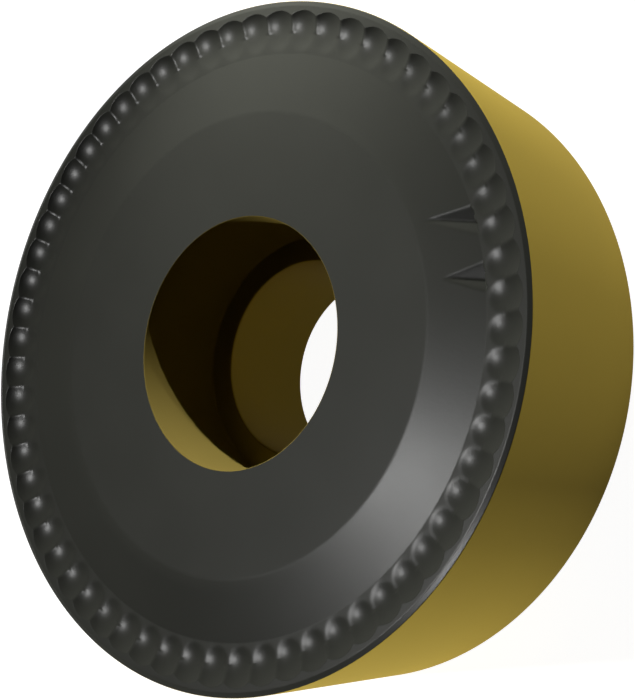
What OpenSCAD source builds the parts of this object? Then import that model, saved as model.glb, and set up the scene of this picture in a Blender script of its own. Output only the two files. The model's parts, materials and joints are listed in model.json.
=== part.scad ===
// Round turning insert with a positive flank, made in one pressed and sintered
// piece. The top is the rake face: a bevelled cutting edge, a ring of ball-shaped
// dimples that break the chip, a shallow cone and a raised flat centre. A stepped
// hole for the clamping pin or screw runs through the middle.
// Lengths are in millimetres and angles in degrees. The insert stands on its
// seat, with the origin at the seat's centre and +Z towards the rake face.

/* [Body] */
// Diameter of the circle of the cutting edge
edge_d = 25; // [20:0.5:32]
// Height of the cutting edge above the seat
edge_h = 7.78; // [6:0.05:10]
// Clearance angle of the conical flank
clearance_angle = 7; // [3:0.5:11]

/* [Cutting edge] */
// Width of the bevel behind the cutting edge, seen from above
bevel_w = 0.19; // [0.1:0.01:0.25]
// Rise of the bevel from the cutting edge to the land
bevel_h = 0.065; // [0.03:0.005:0.1]
// Width of the level land between the bevel and the chip groove
land_w = 0.31; // [0.26:0.01:0.36]

/* [Rake face] */
// Depth of the floor of the chip groove below the cutting edge
groove_depth = 0.11; // [0.08:0.01:0.14]
// Width of the sloping outer wall of the chip groove
groove_wall_w = 0.9; // [0.8:0.01:1]
// Width of the level floor of the chip groove
groove_w = 0.51; // [0.4:0.01:0.6]
// Width of the cone between the groove and the raised centre
cone_w = 2.18; // [1.8:0.01:2.4]
// Height of the raised centre above the cutting edge
centre_rise = 0.16; // [0.05:0.01:0.3]

/* [Dimples] */
// Number of dimples round the chip groove
dimple_count = 63; // [50:1:70]
// Radius of the ball that leaves each dimple
dimple_ball_r = 1.85; // [1.6:0.05:2.1]
// Distance of the ball's centre inwards from the cutting edge
dimple_inset = 1.3; // [1.2:0.01:1.4]
// Depth of each dimple below the cutting edge
dimple_depth = 0.2; // [0.17:0.01:0.28]
// Angle of the first dimple from +X
dimple_start = 2.4; // [0:0.1:5.7]

/* [Hole] */
// Diameter of the counterbore for the head of the pin
counterbore_d = 9.14; // [8:0.02:10]
// Depth of the counterbore below the raised centre
counterbore_depth = 3.78; // [2.5:0.01:5]
// Diameter of the through hole below the counterbore
hole_d = 7.3; // [6:0.05:7.8]

/* [Index marks] */
// Width of a mark at its outer end
mark_w = 1; // [0.6:0.05:1.4]
// Depth of a mark at its outer end
mark_depth = 0.2; // [0.1:0.01:0.3]
// Length of the first mark
mark_a_length = 1.75; // [1:0.05:1.9]
// Angle of the outer end of the first mark from +X
mark_a_angle = 23.8; // [18:0.1:40]
// Length of the second mark
mark_b_length = 1.45; // [1:0.05:1.9]
// Angle of the outer end of the second mark from +X
mark_b_angle = 12.6; // [5:0.1:17]
// Direction in which the bottom line of both marks climbs, from +X
mark_heading = 178; // [170:1:190]
// Share of a mark's width that its steep side, towards -Y, takes
mark_steep_share = 0.3; // [0.2:0.05:0.8]

/* [Hidden] */
$fn = 96;
cut_over = 1;
edge_r = edge_d / 2;
seat_r = edge_r - edge_h * tan(clearance_angle);
land_z = edge_h + bevel_h;
groove_z = edge_h - groove_depth;
centre_z = edge_h + centre_rise;
shoulder_z = centre_z - counterbore_depth;
land_outer_r = edge_r - bevel_w;
land_inner_r = land_outer_r - land_w;
groove_outer_r = land_inner_r - groove_wall_w;
groove_inner_r = groove_outer_r - groove_w;
centre_r = groove_inner_r - cone_w;
cone_slope = atan((centre_z - groove_z) / cone_w);
dimple_ring_r = edge_r - dimple_inset;
dimple_ball_z = edge_h - dimple_depth + dimple_ball_r;
dimple_pitch = 360 / dimple_count;
// How far the V of a mark opens above its own depth, to clear the cone
mark_opening = 4;
// How far the bottom line of a mark lies towards its steep side
mark_valley_offset = mark_w * (0.5 - mark_steep_share);

// The turned form before anything is sunk into it
module blank() {
    rotate_extrude()
        polygon([
            [0, 0],
            [seat_r, 0],
            [edge_r, edge_h],
            [land_outer_r, land_z],
            [land_inner_r, land_z],
            [groove_outer_r, groove_z],
            [groove_inner_r, groove_z],
            [centre_r, centre_z],
            [0, centre_z]
        ]);
}

// Through hole and counterbore, with the flat shoulder between them
module stepped_hole() {
    translate([0, 0, -cut_over])
        cylinder(d = hole_d, h = centre_z + 2 * cut_over);
    translate([0, 0, shoulder_z])
        cylinder(d = counterbore_d, h = counterbore_depth + cut_over);
}

// Ring of balls that overlap their neighbours and leave radial ridges between
module dimple_balls() {
    for (i = [0 : dimple_count - 1])
        rotate(dimple_start + i * dimple_pitch)
            translate([dimple_ring_r, 0, dimple_ball_z])
                sphere(r = dimple_ball_r);
}

// Height of the cone at a distance of r from the axis
function cone_z(r) = groove_z + (groove_inner_r - r) * tan(cone_slope);

// Distance from the axis to the point of a mark
function mark_tip_r(angle, length) =
    sqrt(groove_inner_r ^ 2 + length ^ 2
        - 2 * groove_inner_r * length * cos(angle + 180 - mark_heading));

// Notch in the cone with a lopsided V section: full width and depth at the
// groove, running out to a point as its bottom climbs towards the centre
module index_mark(angle, length) {
    rise = atan((cone_z(mark_tip_r(angle, length)) - groove_z + mark_depth) / length);
    intersection() {
        cylinder(r = groove_inner_r, h = centre_z + cut_over);
        rotate(angle)
            translate([groove_inner_r, 0, groove_z - mark_depth])
                rotate([90 - rise, 0, mark_heading - angle + 90])
                    translate([mark_valley_offset, 0, -cut_over])
                        linear_extrude(length + 2 * cut_over)
                            mark_section();
    }
}

module mark_section() {
    polygon([
        [0, 0],
        [mark_opening * mark_w * mark_steep_share, mark_opening * mark_depth],
        [-mark_opening * mark_w * (1 - mark_steep_share), mark_opening * mark_depth]
    ]);
}

module insert() {
    color("#46463f")
        difference() {
            blank();
            stepped_hole();
            dimple_balls();
            index_mark(mark_a_angle, mark_a_length);
            index_mark(mark_b_angle, mark_b_length);
        }
}

insert();
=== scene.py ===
# %% [markdown]
# # A round turning insert
# A turning insert is a small, very hard plate that a lathe's tool holder clamps by its hole.
# This one is round: its whole top edge cuts. It is pressed from tungsten carbide powder,
# sintered and coated, near black on the top and gold on the flank and in the hole.
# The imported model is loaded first, because every size and place in this file hangs on it.

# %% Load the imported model
import json
import math

import bmesh
import bpy
from mathutils import Matrix, Vector


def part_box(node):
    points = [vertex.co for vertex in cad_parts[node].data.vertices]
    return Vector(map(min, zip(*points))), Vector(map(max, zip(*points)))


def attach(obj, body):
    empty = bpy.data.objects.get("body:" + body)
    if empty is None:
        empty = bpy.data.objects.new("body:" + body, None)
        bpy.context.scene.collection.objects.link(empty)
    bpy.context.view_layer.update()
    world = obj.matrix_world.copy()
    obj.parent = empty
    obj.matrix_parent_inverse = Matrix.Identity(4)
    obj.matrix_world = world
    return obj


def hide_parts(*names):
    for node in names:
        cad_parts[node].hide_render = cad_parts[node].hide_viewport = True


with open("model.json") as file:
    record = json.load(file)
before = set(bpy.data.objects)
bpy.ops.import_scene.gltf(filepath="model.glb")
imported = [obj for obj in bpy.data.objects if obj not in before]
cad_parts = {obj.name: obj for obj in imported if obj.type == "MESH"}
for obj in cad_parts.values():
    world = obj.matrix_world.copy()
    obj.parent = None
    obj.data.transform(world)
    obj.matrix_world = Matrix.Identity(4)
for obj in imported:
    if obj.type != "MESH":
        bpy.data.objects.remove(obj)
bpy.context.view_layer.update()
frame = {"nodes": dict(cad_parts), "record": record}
print("Nodes in the packed model:", sorted(frame["nodes"]))

# %% [markdown]
# ## Sizes
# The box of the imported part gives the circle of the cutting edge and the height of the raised
# centre. The two mounts give the stepped hole. The small forms of the top face are the sizes
# that the real insert is pressed to, so they are written here once, in millimetres.

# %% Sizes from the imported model
MM = 0.001
low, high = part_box("insert")
edge_r = (high.x - low.x) / 2
centre_z = high.z
mounts = {mount["name"]: mount for mount in frame["record"]["mounts"]}
hole_r = mounts["pin_hole"]["dims"]["r_mm"] * MM
head_r = mounts["head_counterbore"]["dims"]["r_mm"] * MM
shoulder_z = centre_z - mounts["head_counterbore"]["dims"]["length_mm"] * MM
print(f"Edge radius {edge_r / MM:.2f} mm, height {centre_z / MM:.2f} mm")

# %% Sizes of the flank and the top face
clearance_angle = math.radians(7)
centre_rise = 0.16 * MM
bevel_width = 0.19 * MM
bevel_rise = 0.065 * MM
groove_depth = 0.14 * MM
groove_wall_width = 0.8 * MM
edge_z = centre_z - centre_rise
seat_r = edge_r - edge_z * math.tan(clearance_angle)
land_r = edge_r - bevel_width
land_z = edge_z + bevel_rise
groove_r = 10.59 * MM
groove_z = edge_z - groove_depth
centre_r = 8.41 * MM
print(f"Seat radius {seat_r / MM:.2f} mm, cone from {groove_r / MM:.2f} to {centre_r / MM:.2f} mm")

# %% Sizes of the dimples
dimple_count = 63
dimple_pitch = math.tau / dimple_count
dimple_start = math.radians(2.4)
dimple_inset = 1.3 * MM
dimple_depth = 0.2 * MM
ball_r = 1.85 * MM
ring_r = edge_r - dimple_inset
ball_z = edge_z - dimple_depth + ball_r
outline_r = math.sqrt(ball_r**2 - (ball_z - land_z) ** 2)
tip_r = ring_r + outline_r
half_gap = ring_r * math.sin(dimple_pitch / 2)
cusp_r = ring_r * math.cos(dimple_pitch / 2) + math.sqrt(outline_r**2 - half_gap**2)
print(f"Dimple tips at {tip_r / edge_r:.4f} and cusps at {cusp_r / edge_r:.4f} of the edge radius")

# %% [markdown]
# ## The section of the insert
# The insert is a turned form, so it is drawn as one closed outline of radius and height and
# spun round the hole's axis. Each corner gets a small round, because a sintered and coated
# edge is never a perfect line, and the round is what catches the light in a close view.
# Bare rounds would bend the shading of the wide faces beside them, so each round gets a
# holding row on both sides. Three numbers go with each point of the outline: whether it
# belongs to the dark top, how far it follows the scalloped outline of the dimples, and how
# softly the dimples run out.

# %% Rows of the outline
rows = []
CORNER_STEPS = 2
EDGE_STEPS = 3
HOLD_SHARE = 0.5


def add_row(r, z, dark=0.0, follow=0.0, soft=0.0):
    rows.append({"r": r, "z": z, "dark": dark, "follow": follow, "soft": soft})


def add_corner(before, corner, after, reach, dark_before=0.0, dark_after=0.0, steps=CORNER_STEPS):
    """A small round that starts and ends at a distance of reach from a corner, between two
    holding rows."""
    before, corner, after = Vector(before), Vector(corner), Vector(after)
    start = corner + (before - corner).normalized() * reach
    end = corner + (after - corner).normalized() * reach
    hold_start = start + (before - corner).normalized() * reach * HOLD_SHARE
    hold_end = end + (after - corner).normalized() * reach * HOLD_SHARE
    add_row(hold_start.x, hold_start.y, dark_before)
    for step in range(steps + 1):
        t = step / steps
        point = start * (1 - t) ** 2 + corner * 2 * t * (1 - t) + end * t**2
        dark = dark_before if t < 0.5 else dark_after
        add_row(point.x, point.y, dark)
    add_row(hold_end.x, hold_end.y, dark_after)


# %% The outline from the hole along the seat and up the flank to the land
EDGE_REACH = 0.03 * MM
RIM_REACH = 0.06 * MM
hole_bottom = (hole_r, 0)
seat = (seat_r, 0)
edge = (edge_r, edge_z)
land = (land_r, land_z)
land_inside = (tip_r, land_z)
add_corner((hole_r, shoulder_z), hole_bottom, seat, RIM_REACH)
add_corner(hole_bottom, seat, edge, RIM_REACH)
add_corner(seat, edge, land, EDGE_REACH, dark_after=1, steps=EDGE_STEPS)
add_corner(edge, land, land_inside, EDGE_REACH, dark_before=1, dark_after=1, steps=EDGE_STEPS)
print("Rows so far:", len(rows))

# %% [markdown]
# ## Rows for the dimples and the marks
# The ring of dimples needs the most rows. They stand close together at the rim, where the
# outline is a row of small arcs, and wide apart on the floor of the groove. How far a row
# follows the arcs fades to nothing halfway across the ring, so that the groove's inner end
# is a true circle again. The cone gets rows of its own where the two index marks are sunk
# into it. Even rows everywhere would do as well, but with several times the faces.

# %% The outline across the ring of dimples
RING_ROWS = 27
OUTER_STEPS = (0.05, 0.03, 0.016, 0.007, 0.0, -0.007, -0.016, -0.03, -0.05, -0.08)
FLOOR_SOFT = 0.05 * MM
EDGE_SOFT = 0.012 * MM
SOFT_POWER = 3
FOLLOW_POWER = 1.5
ring_w = tip_r - groove_r
for step in OUTER_STEPS:
    z = land_z if step >= 0 else groove_z
    add_row(tip_r + step * MM, z, 1, 1.0, EDGE_SOFT)
inner_start = OUTER_STEPS[-1] * MM / ring_w + 1
for step in range(1, RING_ROWS):
    share = inner_start * (1 - step / RING_ROWS)
    follow = max(0.0, 2 * share - 1) ** FOLLOW_POWER
    soft = FLOOR_SOFT + (EDGE_SOFT - FLOOR_SOFT) * share**SOFT_POWER
    add_row(groove_r + share * ring_w, groove_z, 1, follow, soft)
print("Rows so far:", len(rows))

# %% The outline over the cone and the raised centre and down the hole
MARK_ROWS = 18
GROOVE_STEPS = (0.0, -0.008)
MARK_START = 0.05 * MM
mark_zone_r = 8.9 * MM
cone_slope = (centre_z - groove_z) / (groove_r - centre_r)
for step in GROOVE_STEPS:
    add_row(groove_r + step * MM, groove_z - step * MM * cone_slope, 1, 0.0, FLOOR_SOFT)
for step in range(1, MARK_ROWS + 1):
    r = groove_r - MARK_START + (mark_zone_r - groove_r) * (step - 1) / (MARK_ROWS - 1)
    add_row(r, groove_z + (groove_r - r) * cone_slope, 1, 0.0, FLOOR_SOFT)
centre = (centre_r, centre_z)
head_rim = (head_r, centre_z)
shoulder = (head_r, shoulder_z)
hole_top = (hole_r, shoulder_z)
add_corner((groove_r, groove_z), centre, head_rim, RIM_REACH, dark_before=1, dark_after=1)
add_corner(centre, head_rim, shoulder, EDGE_REACH, dark_before=1)
add_corner(head_rim, shoulder, hole_top, RIM_REACH)
add_corner(shoulder, hole_top, hole_bottom, RIM_REACH)
print("Rows of the whole outline:", len(rows))

# %% The outline as a mesh of edges
outline_mesh = bpy.data.meshes.new("insert_outline")
points = [(row["r"] - edge_r, -row["z"], 0) for row in rows]
sides = [(i, (i + 1) % len(rows)) for i in range(len(rows))]
outline_mesh.from_pydata(points, sides, [])
for name in ("dark", "follow", "soft"):
    values = outline_mesh.attributes.new(name, "FLOAT", "POINT").data
    for value, row in zip(values, rows):
        value.value = row[name]
insert = bpy.data.objects.new("insert_finished", outline_mesh)
bpy.context.collection.objects.link(insert)
print("Outline points:", len(outline_mesh.vertices))

# %% [markdown]
# ## Sums in a node tree
# The spin, the dimples and the marks all follow rules, so they are made by Geometry Nodes.
# A rule with many sums is hard to read as nodes and easy to read as a formula. This small
# class lets a formula be written in Python, while each sum still becomes a Math node.

# %% A number that flows through a tree


class Term:
    """An output in a node tree. A sum with it adds a Math node and gives the answer as a Term."""

    def __init__(self, tree, socket):
        self.tree = tree
        self.socket = socket

    def sum(self, operation, *others):
        node = self.tree.nodes.new("ShaderNodeMath")
        node.operation = operation
        connect(self.tree, node, (self, *others))
        return Term(self.tree, node.outputs[0])

    def __add__(self, other):
        return self.sum("ADD", other)

    def __sub__(self, other):
        return self.sum("SUBTRACT", other)

    def __mul__(self, other):
        return self.sum("MULTIPLY", other)

    def __truediv__(self, other):
        return self.sum("DIVIDE", other)

    def __abs__(self):
        return self.sum("ABSOLUTE")


def connect(tree, node, values):
    """Feeds each value, a Term or a plain number, to the node's inputs in order."""
    for socket, value in zip(node.inputs, values):
        if isinstance(value, Term):
            tree.links.new(value.socket, socket)
        else:
            socket.default_value = value


FLOAT = "NodeSocketFloat"


def new_tree(name, inputs, outputs):
    """An empty Geometry Nodes group, its inputs as Terms by name, and its output node."""
    tree = bpy.data.node_groups.new(name, "GeometryNodeTree")
    for label, kind in inputs.items():
        tree.interface.new_socket(label, in_out="INPUT", socket_type=kind)
    for label, kind in outputs.items():
        tree.interface.new_socket(label, in_out="OUTPUT", socket_type=kind)
    start = tree.nodes.new("NodeGroupInput")
    end = tree.nodes.new("NodeGroupOutput")
    return tree, {label: Term(tree, start.outputs[label]) for label in inputs}, end


def numbers(*labels):
    """Inputs that all take a plain number."""
    return {label: FLOAT for label in labels}


print("Sums are ready")

# %% [markdown]
# ## The dimples
# On the real insert each dimple is the print of a ball on the pressing die, and
# neighbouring balls overlap, so that a ridge stands between two dimples. The mesh could be
# cut with 63 balls, but a cut leaves ragged faces. Here every point is lowered to the ball
# that it lies under, and rows near the rim are bent to follow the scalloped outline, so
# that the rim is one clean line. The smooth minimum rounds the ridges and run-outs.

# %% Height of a ball's underside over a point


def ball_height(r, angle, sizes):
    """Height of the ball's underside at a radius and at an angle from the ball's centre."""
    across = r * angle.sum("SINE")
    along = r * angle.sum("COSINE") - sizes["Ring radius"]
    depth = sizes["Ball radius"] * sizes["Ball radius"] - across * across - along * along
    return sizes["Ball height"] - depth.sum("MAXIMUM", 0.0).sum("SQRT")


# %% The group that presses the dimples
dimple_inputs = numbers(
    "Radius", "Angle", "Height", "Follow", "Soft", "Pitch", "Start", "Ring radius",
    "Ball radius", "Ball height", "Land height", "Floor height", "Wall width",
)
tree, size, end = new_tree("press_dimples", dimple_inputs, numbers("Radius", "Height"))
turns = (size["Angle"] - size["Start"]) / size["Pitch"]
near_angle = abs(turns - turns.sum("ROUND")) * size["Pitch"]
far_angle = near_angle * -1.0 + size["Pitch"]
lift = size["Ball height"] - size["Land height"]
outline_2 = size["Ball radius"] * size["Ball radius"] - lift * lift
across = size["Ring radius"] * near_angle.sum("SINE")
scallop_r = size["Ring radius"] * near_angle.sum("COSINE") + (outline_2 - across * across).sum("SQRT")
tip = size["Ring radius"] + outline_2.sum("SQRT")
new_r = size["Radius"] + size["Follow"] * (scallop_r - tip)
print("Nodes up to the scalloped outline:", len(tree.nodes))

# %% The wall of the groove and the balls in the same group
half_across = size["Ring radius"] * (size["Pitch"] * 0.5).sum("SINE")
cusp = size["Ring radius"] * (size["Pitch"] * 0.5).sum("COSINE")
cusp = cusp + (outline_2 - half_across * half_across).sum("SQRT")
wall_share = ((new_r - cusp) / size["Wall width"] + 1.0).sum("MAXIMUM", 0.0).sum("MINIMUM", 1.0)
wall_z = size["Floor height"] + wall_share * (size["Land height"] - size["Floor height"])
in_ring = size["Follow"].sum("GREATER_THAN", 0.0)
base_z = size["Height"] + in_ring * (wall_z.sum("MAXIMUM", size["Height"]) - size["Height"])
near_z = ball_height(new_r, near_angle, size)
far_z = ball_height(new_r, far_angle, size)
balls_z = near_z.sum("SMOOTH_MIN", far_z, size["Soft"])
new_z = base_z.sum("SMOOTH_MIN", balls_z, size["Soft"])
connect(tree, end, (new_r, new_z))
dimple_tree = tree
print("Nodes that press the dimples:", len(tree.nodes))

# %% [markdown]
# ## The index marks
# Two small notches on the cone tell the user which edge has been turned to the cut. Each
# is a lopsided V that is deepest at the groove and runs out to a point as its bottom climbs
# towards the centre. Its two sides are planes, so its height is the greater of two planes.

# %% The group that sinks one mark
mark_inputs = numbers(
    "X", "Y", "Radius", "Height", "Angle", "Length", "Heading", "Width", "Depth",
    "Steep share", "Groove radius", "Floor height", "Cone slope", "Soft",
)
tree, size, end = new_tree("sink_mark", mark_inputs, numbers("Height"))
heading_x = size["Heading"].sum("COSINE")
heading_y = size["Heading"].sum("SINE")
start_x = size["Groove radius"] * size["Angle"].sum("COSINE")
start_y = size["Groove radius"] * size["Angle"].sum("SINE")
far_x = size["X"] - start_x
far_y = size["Y"] - start_y
along = far_x * heading_x + far_y * heading_y
aside = far_x * heading_y * -1.0 + far_y * heading_x
aside = aside - size["Width"] * (size["Steep share"] * -1.0 + 0.5)
tip_x = start_x + size["Length"] * heading_x
tip_y = start_y + size["Length"] * heading_y
tip_radius = (tip_x * tip_x + tip_y * tip_y).sum("SQRT")
print("Nodes up to the mark's point:", len(tree.nodes))

# %% The two sides of the mark in the same group
climb = (size["Groove radius"] - tip_radius) * size["Cone slope"] + size["Depth"]
bottom_z = size["Floor height"] - size["Depth"] + along * climb / size["Length"]
steep = aside * size["Depth"] / (size["Width"] * size["Steep share"])
gentle = aside * -1.0 * size["Depth"] / (size["Width"] * (size["Steep share"] * -1.0 + 1.0))
notch_z = bottom_z + steep.sum("MAXIMUM", gentle)
inside = size["Radius"].sum("LESS_THAN", size["Groove radius"])
cut_z = size["Height"].sum("SMOOTH_MIN", notch_z, size["Soft"])
connect(tree, end, (size["Height"] + inside * (cut_z - size["Height"]),))
mark_tree = tree
print("Nodes that sink a mark:", len(tree.nodes))

# %% [markdown]
# ## Finishes
# The top carries a near-black aluminium oxide coat over gold titanium nitride, which shows
# where the dark coat has been taken off: on the flank and in the hole. The wide upper part
# of the hole is painted a darker gold: painted shade that stands in for the shade there.
# The coats are thin hard layers on a fine sintered grain, so they are a smooth satin with a
# grain that is felt more than seen. They could be painted with image maps, but a noise is
# sharp at any distance. It reads Object coordinates, so it stays on the insert in every view.
# The gold has no white gloss of its own: all its light is gold.

# %% A material with a fine grain
GRAIN_SCALE = 9000.0
GRAIN_DETAIL = 3.0
GRAIN_DEPTH = 0.01 * MM
GRAIN_STRENGTH = 0.15
CLOUD_SCALE = 260.0
CLOUD_DETAIL = 4.0
GLOSS_DRIFT = 0.03


def coating(name, deep, pale, roughness, shine, metallic=0.0):
    """A satin hard coating whose colour drifts between a deep and a pale tone, and its gloss
    with it."""
    material = bpy.data.materials.new(name)
    material.use_nodes = True
    nodes, links = material.node_tree.nodes, material.node_tree.links
    shader = nodes["Principled BSDF"]
    place = nodes.new("ShaderNodeTexCoord")
    clouds = nodes.new("ShaderNodeTexNoise")
    clouds.inputs["Scale"].default_value = CLOUD_SCALE
    clouds.inputs["Detail"].default_value = CLOUD_DETAIL
    tint = nodes.new("ShaderNodeMix")
    tint.data_type = "RGBA"
    tint.inputs["A"].default_value = (*deep, 1)
    tint.inputs["B"].default_value = (*pale, 1)
    gloss = nodes.new("ShaderNodeMapRange")
    gloss.inputs["To Min"].default_value = roughness - GLOSS_DRIFT
    gloss.inputs["To Max"].default_value = roughness + GLOSS_DRIFT
    fine = nodes.new("ShaderNodeTexNoise")
    fine.inputs["Scale"].default_value = GRAIN_SCALE
    fine.inputs["Detail"].default_value = GRAIN_DETAIL
    bump = nodes.new("ShaderNodeBump")
    bump.inputs["Strength"].default_value = GRAIN_STRENGTH
    bump.inputs["Distance"].default_value = GRAIN_DEPTH
    links.new(place.outputs["Object"], clouds.inputs["Vector"])
    links.new(place.outputs["Object"], fine.inputs["Vector"])
    links.new(clouds.outputs["Fac"], tint.inputs["Factor"])
    links.new(clouds.outputs["Fac"], gloss.inputs["Value"])
    links.new(tint.outputs["Result"], shader.inputs["Base Color"])
    links.new(gloss.outputs["Result"], shader.inputs["Roughness"])
    links.new(fine.outputs["Fac"], bump.inputs["Height"])
    links.new(bump.outputs["Normal"], shader.inputs["Normal"])
    shader.inputs["Metallic"].default_value = metallic
    shader.inputs["Specular IOR Level"].default_value = shine
    return material


# %% The two coats and the painted shade of the counterbore
dark_coat = coating(
    "dark_coat", deep=(0.037, 0.038, 0.032), pale=(0.043, 0.044, 0.037), roughness=0.3, shine=0.5
)
gold_coat = coating(
    "gold_coat", deep=(0.40, 0.29, 0.047), pale=(0.43, 0.31, 0.05), roughness=0.45, shine=0.0,
    metallic=0.1,
)
# Painted shade: the counterbore's darker gold stands in for the shade inside the hole.
bore_painted_shade = coating(
    "bore_painted_shade", deep=(0.17, 0.13, 0.032), pale=(0.19, 0.145, 0.036), roughness=0.5, shine=0.0
)
print("Finishes:", dark_coat.name, gold_coat.name, bore_painted_shade.name)

# %% [markdown]
# ## The main tree
# The tree turns the outline into a curve, sweeps it round a circle, presses the dimples,
# sinks the marks and hands out the two finishes and the painted shade. The circle is turned
# by the angle of the first dimple, so that each ridge lies on a column of the mesh and stays
# sharp. The sizes are named inputs, so the same tree makes an insert with other dimples. A
# face is dark when all its corners belong to the dark top, and inside the counterbore it
# gets a darker gold, painted shade for the shade in the hole.

# %% The sizes that the tree takes
WALL_MARGIN = 0.1 * MM
SHOULDER_MARGIN = 0.02 * MM
sizes = {
    "Edge radius": edge_r,
    "Dimple start": dimple_start,
    "Ring radius": ring_r,
    "Ball radius": ball_r,
    "Ball height": ball_z,
    "Land height": land_z,
    "Floor height": groove_z,
    "Wall width": groove_wall_width,
    "Groove radius": groove_r,
    "Cone slope": cone_slope,
    "Mark heading": math.radians(178),
    "Mark width": 1.0 * MM,
    "Mark depth": 0.2 * MM,
    "Mark steep share": 0.3,
    "Mark softness": 0.01 * MM,
    "First mark angle": math.radians(23.8),
    "First mark length": 1.75 * MM,
    "Second mark angle": math.radians(12.6),
    "Second mark length": 1.45 * MM,
    "Counterbore radius": head_r + WALL_MARGIN,
    "Counterbore floor": shoulder_z - SHOULDER_MARGIN,
}
# The bore's darker gold is painted shade for the shade inside the counterbore.
coats = {"Dark coat": dark_coat, "Gold coat": gold_coat, "Bore painted shade": bore_painted_shade}
print("Sizes for the tree:", len(sizes))

# %% The empty main tree
STEPS_PER_DIMPLE = 16
inputs = {"Geometry": "NodeSocketGeometry", "Dimples": "NodeSocketInt", **numbers(*sizes)}
inputs.update({coat: "NodeSocketMaterial" for coat in coats})
tree, size, end = new_tree("turning_insert", inputs, {"Geometry": "NodeSocketGeometry"})


def add_node(kind, inputs=None, **settings):
    """Adds a node to the main tree, sets its options and feeds its inputs by name."""
    node = tree.nodes.new(kind)
    for option, value in settings.items():
        setattr(node, option, value)
    for name, value in (inputs or {}).items():
        if isinstance(value, Term):
            tree.links.new(value.socket, node.inputs[name])
        else:
            node.inputs[name].default_value = value
    return node


def first(node, output=0):
    return Term(tree, node.outputs[output])


def attribute(name):
    return first(add_node("GeometryNodeInputNamedAttribute", {"Name": name}, data_type="FLOAT"))


# %% The spin
pitch = size["Dimples"].sum("POWER", -1.0) * math.tau
section = add_node("GeometryNodeMeshToCurve", {"Mesh": size["Geometry"]})
circle = add_node(
    "GeometryNodeCurvePrimitiveCircle",
    {"Resolution": size["Dimples"] * STEPS_PER_DIMPLE, "Radius": size["Edge radius"]},
)
start_turn = add_node("ShaderNodeCombineXYZ", {"Z": size["Dimple start"]})
lined_up = add_node(
    "GeometryNodeTransform", {"Geometry": first(circle), "Rotation": first(start_turn)}
)
turned = add_node(
    "GeometryNodeCurveToMesh", {"Curve": first(lined_up), "Profile Curve": first(section)}
)
position = add_node("GeometryNodeInputPosition")
apart = add_node("ShaderNodeSeparateXYZ", {"Vector": first(position)})
x, y, z = first(apart, 0), first(apart, 1), first(apart, 2)
radius = (x * x + y * y).sum("SQRT")
angle = y.sum("ARCTAN2", x)
print("Nodes for the spin:", len(tree.nodes))

# %% The dimples and the marks in the main tree
DARK_POINT = 0.5
press = add_node("GeometryNodeGroup", node_tree=dimple_tree)
connect(tree, press, (
    radius, angle, z, attribute("follow"), attribute("soft"), pitch, size["Dimple start"],
    size["Ring radius"], size["Ball radius"], size["Ball height"], size["Land height"],
    size["Floor height"], size["Wall width"],
))
new_radius, height = first(press, 0), first(press, 1)
for order in ("First", "Second"):
    sink = add_node("GeometryNodeGroup", node_tree=mark_tree)
    connect(tree, sink, (
        x, y, radius, height, size[f"{order} mark angle"], size[f"{order} mark length"],
        size["Mark heading"], size["Mark width"], size["Mark depth"], size["Mark steep share"],
        size["Groove radius"], size["Floor height"], size["Cone slope"], size["Mark softness"],
    ))
    height = first(sink)
on_top = attribute("dark").sum("GREATER_THAN", DARK_POINT)
scale = new_radius / radius
place = add_node(
    "ShaderNodeCombineXYZ", {"X": x * scale, "Y": y * scale, "Z": z + on_top * (height - z)}
)
pressed = add_node("GeometryNodeSetPosition", {"Geometry": first(turned), "Position": first(place)})
print("Nodes with the dimples and marks:", len(tree.nodes))

# %% The finishes, the painted shade and the end of the main tree
DARK_FACE = 0.75


def coated(before, coat, where=True):
    """Sets one of the finishes, or the counterbore's painted shade, on the faces of the last step
    that a selection names.
    """
    step_inputs = {"Geometry": first(before), "Selection": where, "Material": size[coat]}
    return add_node("GeometryNodeSetMaterial", step_inputs)


is_dark = attribute("dark").sum("GREATER_THAN", DARK_FACE)
in_counterbore = radius.sum("LESS_THAN", size["Counterbore radius"])
in_counterbore = in_counterbore * z.sum("GREATER_THAN", size["Counterbore floor"])
golden = coated(pressed, "Gold coat")
# Painted shade: the counterbore gets a darker gold for the shade inside the hole.
bore_shaded = coated(golden, "Bore painted shade", in_counterbore)
darkened = coated(bore_shaded, "Dark coat", is_dark)
smooth = add_node("GeometryNodeSetShadeSmooth", {"Geometry": first(darkened)})
real = add_node("GeometryNodeRealizeInstances", {"Geometry": first(smooth)})
connect(tree, end, (first(real),))
print("Nodes of the main tree:", len(tree.nodes))

# %% [markdown]
# ## The finished insert
# The tree could stay on the insert as a live modifier, but a plain mesh is what other
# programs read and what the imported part's body carries. So the tree is given its sizes, its
# result is kept as a mesh, and the modifier goes. A sweep can come out with its faces turned
# inwards. The sign of the volume shows that, and the count of open edges shows any gap.

# %% Run the tree and keep its result as a plain mesh
modifier = insert.modifiers.new("turning_insert", "NODES")
modifier.node_group = tree
settings = {"Dimples": dimple_count, **sizes, **coats}
for item in tree.interface.items_tree:
    if item.in_out == "INPUT" and item.name in settings:
        modifier[item.identifier] = settings[item.name]
bpy.context.view_layer.update()
evaluated = insert.evaluated_get(bpy.context.evaluated_depsgraph_get())
finished_mesh = bpy.data.meshes.new_from_object(evaluated)
insert.modifiers.clear()
insert.data = finished_mesh
print("Faces:", len(finished_mesh.polygons))
print("Finishes on them:", [m.name for m in finished_mesh.materials])

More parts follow.
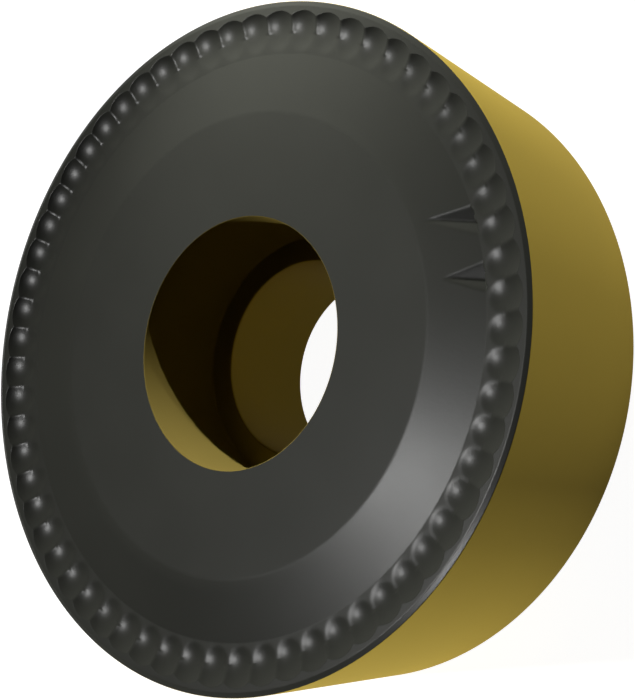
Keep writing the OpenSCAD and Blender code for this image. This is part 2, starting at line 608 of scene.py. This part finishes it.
# %% Turn the faces outwards
builder = bmesh.new()
builder.from_mesh(finished_mesh)
if builder.calc_volume(signed=True) < 0:
    bmesh.ops.reverse_faces(builder, faces=builder.faces)
open_edges = sum(not side.is_manifold for side in builder.edges)
print(f"Volume {builder.calc_volume() / MM**3:.1f} mm3, open edges {open_edges}")
builder.to_mesh(finished_mesh)
builder.free()

# %% The insert rides on the part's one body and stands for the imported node
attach(insert, "root")
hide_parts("insert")
print("The insert rides on root and stands for the packed insert")

# %% [markdown]
# ## The camera
# The camera looks down on the top face from one side and is rolled, as in the photograph.
# Its place is given as a point on the face that it aims at, a direction and a distance. It
# stands close, so that the near side of the insert looks larger than the far side.

# %% The camera
aim = Vector((3.63 * MM, -0.235 * MM, edge_z))
view_side = math.radians(-9.82)
view_up = math.radians(49.46)
view_distance = 74.27 * MM
LENS = 110.55
NEAREST = 1 * MM


def direction(side, height):
    """The direction of an azimuth and an elevation in radians."""
    level = math.cos(height)
    return Vector((level * math.cos(side), level * math.sin(side), math.sin(height)))


back = direction(view_side, view_up)
up = back.cross(Vector((1, 0, 0))).normalized()
right = up.cross(back)
camera_data = bpy.data.cameras.new("camera")
camera_data.lens = LENS
camera_data.clip_start = NEAREST
camera = bpy.data.objects.new("camera", camera_data)
bpy.context.collection.objects.link(camera)
turn = Matrix((right, up, back)).transposed().to_4x4()
camera.matrix_world = Matrix.Translation(aim + back * view_distance) @ turn
bpy.context.scene.camera = camera
print("Camera at", [round(v / MM, 2) for v in camera.matrix_world.translation], "mm")

# %% [markdown]
# ## The floor
# The photograph has a plain white background with hardly any shadow. A white floor under
# strong lamps would do it, but it would also throw that light on the insert. So the floor is
# a grey sheet that also glows towards the camera and in reflections, by the Light Path node,
# and keeps a trace of the insert's shadow. It is wide, so that a low camera sees no end.

# %% The floor
FLOOR_SIZE = 20.0
floor_mesh = bpy.data.meshes.new("floor")
half = FLOOR_SIZE / 2
floor_corners = [(-half, -half, 0), (half, -half, 0), (half, half, 0), (-half, half, 0)]
floor_mesh.from_pydata(floor_corners, [], [(0, 1, 2, 3)])
floor = bpy.data.objects.new("floor", floor_mesh)
bpy.context.collection.objects.link(floor)
print("Floor of", FLOOR_SIZE, "m")

# %% The paper on the floor
PAPER_GREY = 0.4
PAPER_ROUGHNESS = 0.9
PAPER_GLOW = 0.95
paper = bpy.data.materials.new("white_paper")
paper.use_nodes = True
nodes, links = paper.node_tree.nodes, paper.node_tree.links
shader = nodes["Principled BSDF"]
shader.inputs["Base Color"].default_value = (PAPER_GREY, PAPER_GREY, PAPER_GREY, 1)
shader.inputs["Roughness"].default_value = PAPER_ROUGHNESS
path = nodes.new("ShaderNodeLightPath")
seen = nodes.new("ShaderNodeMath")
seen.operation = "MAXIMUM"
links.new(path.outputs["Is Camera Ray"], seen.inputs[0])
links.new(path.outputs["Is Glossy Ray"], seen.inputs[1])
seen_through = nodes.new("ShaderNodeMath")
seen_through.operation = "MAXIMUM"
links.new(seen.outputs[0], seen_through.inputs[0])
links.new(path.outputs["Is Transmission Ray"], seen_through.inputs[1])
glow = nodes.new("ShaderNodeMath")
glow.operation = "MULTIPLY"
glow.inputs[1].default_value = PAPER_GLOW
links.new(seen_through.outputs[0], glow.inputs[0])
shader.inputs["Emission Color"].default_value = (1, 1, 1, 1)
links.new(glow.outputs[0], shader.inputs["Emission Strength"])
floor_mesh.materials.append(paper)
print("Paper:", paper.name)

# %% [markdown]
# ## The light
# The photograph shows its lamps well. Every dimple mirrors one lamp high on the left, and
# so does the cone on the right. The outer halves of the dimples on the left lie in the
# shadow of the rim, so the matt light comes in low, from the left and from behind. The dark
# wall of the hole has one lit crescent, so a small lamp stands close behind the insert. Two
# lamps below the level of the edge light the flank alone, and a narrow one from above draws
# the bright line along the bevel at the lower right. A world of even light could not draw
# any of this, so the world is dark. A lamp that is only there for its mirror image lights
# nothing matt, and one that is only there for its light is not mirrored.

# %% The dark world
world = bpy.data.worlds.new("studio")
bpy.context.scene.world = world
world.use_nodes = True
world.node_tree.nodes["Background"].inputs["Strength"].default_value = 0.0
print("World:", world.name)

# %% The soft boxes


def hang(name, lamp, location, back):
    """Hangs a lamp at a place. It shines against the direction of its back."""
    holder = bpy.data.objects.new(name, lamp)
    bpy.context.collection.objects.link(holder)
    holder.location = location
    holder.rotation_mode = "QUATERNION"
    holder.rotation_quaternion = back.to_track_quat("Z", "Y")
    return holder


def add_lamp(name, side, height, distance, size, level):
    """A square soft box that faces the insert from an azimuth and an elevation in degrees.
    Its level is the light that it throws on the insert's centre, so a lamp can be moved
    nearer or farther without a change of brightness there."""
    lamp = bpy.data.lights.new(name, "AREA")
    lamp.energy = level * math.pi * distance**2
    lamp.size = size
    out = direction(math.radians(side), math.radians(height))
    return hang(name, lamp, Vector((0, 0, edge_z)) + out * distance, out)


highlight = add_lamp("highlight", side=192, height=66.6, distance=0.265, size=0.03, level=0.5)
highlight.visible_diffuse = False
matt_lamps = [
    add_lamp("left_low", side=194, height=24, distance=0.25, size=0.01, level=2.5),
    add_lamp("top_low", side=96, height=21.5, distance=0.25, size=0.005, level=1.8),
    add_lamp("front_low", side=252, height=-1, distance=0.25, size=0.005, level=3.6),
    add_lamp("side_low", side=56, height=-1, distance=0.25, size=0.005, level=1.4),
]
for holder in matt_lamps:
    holder.visible_glossy = False
print("Soft boxes:", len(matt_lamps) + 1)

# %% Two small spot lamps


def add_spot(name, place, target, spread, size, level):
    """A small lamp with a soft-edged cone of light of a given spread in degrees, aimed from one
    point to another. Its level is the light that it throws on the point that it aims at."""
    lamp = bpy.data.lights.new(name, "SPOT")
    path_back = Vector(place) - Vector(target)
    lamp.energy = level * 4 * math.pi * path_back.length_squared
    lamp.shadow_soft_size = size
    lamp.spot_size = math.radians(spread)
    lamp.spot_blend = 1.0
    return hang(name, lamp, place, path_back)


top_place = (-0.9 * MM, 25.8 * MM, edge_z + 7.9 * MM)
top_target = (1.5 * MM, 4.0 * MM, edge_z)
top_spot = add_spot("top_spot", top_place, top_target, spread=62, size=0.2 * MM, level=5.4)
top_spot.visible_glossy = False
bevel_target = Vector((10.2 * MM, -7.2 * MM, edge_z))
bevel_offset = Vector((-6, -19.6, 56.4)) * MM
bevel_place = bevel_target + bevel_offset
bevel_spot = add_spot("bevel_spot", bevel_place, bevel_target, spread=20, size=2 * MM, level=0.5)
bevel_spot.visible_diffuse = False
print("Lamps round the insert:", len(bpy.data.lights))

# %% [markdown]
# ## Colours
# The Standard view shows each colour as it is written.

scene = bpy.context.scene
scene.view_settings.view_transform = "Standard"
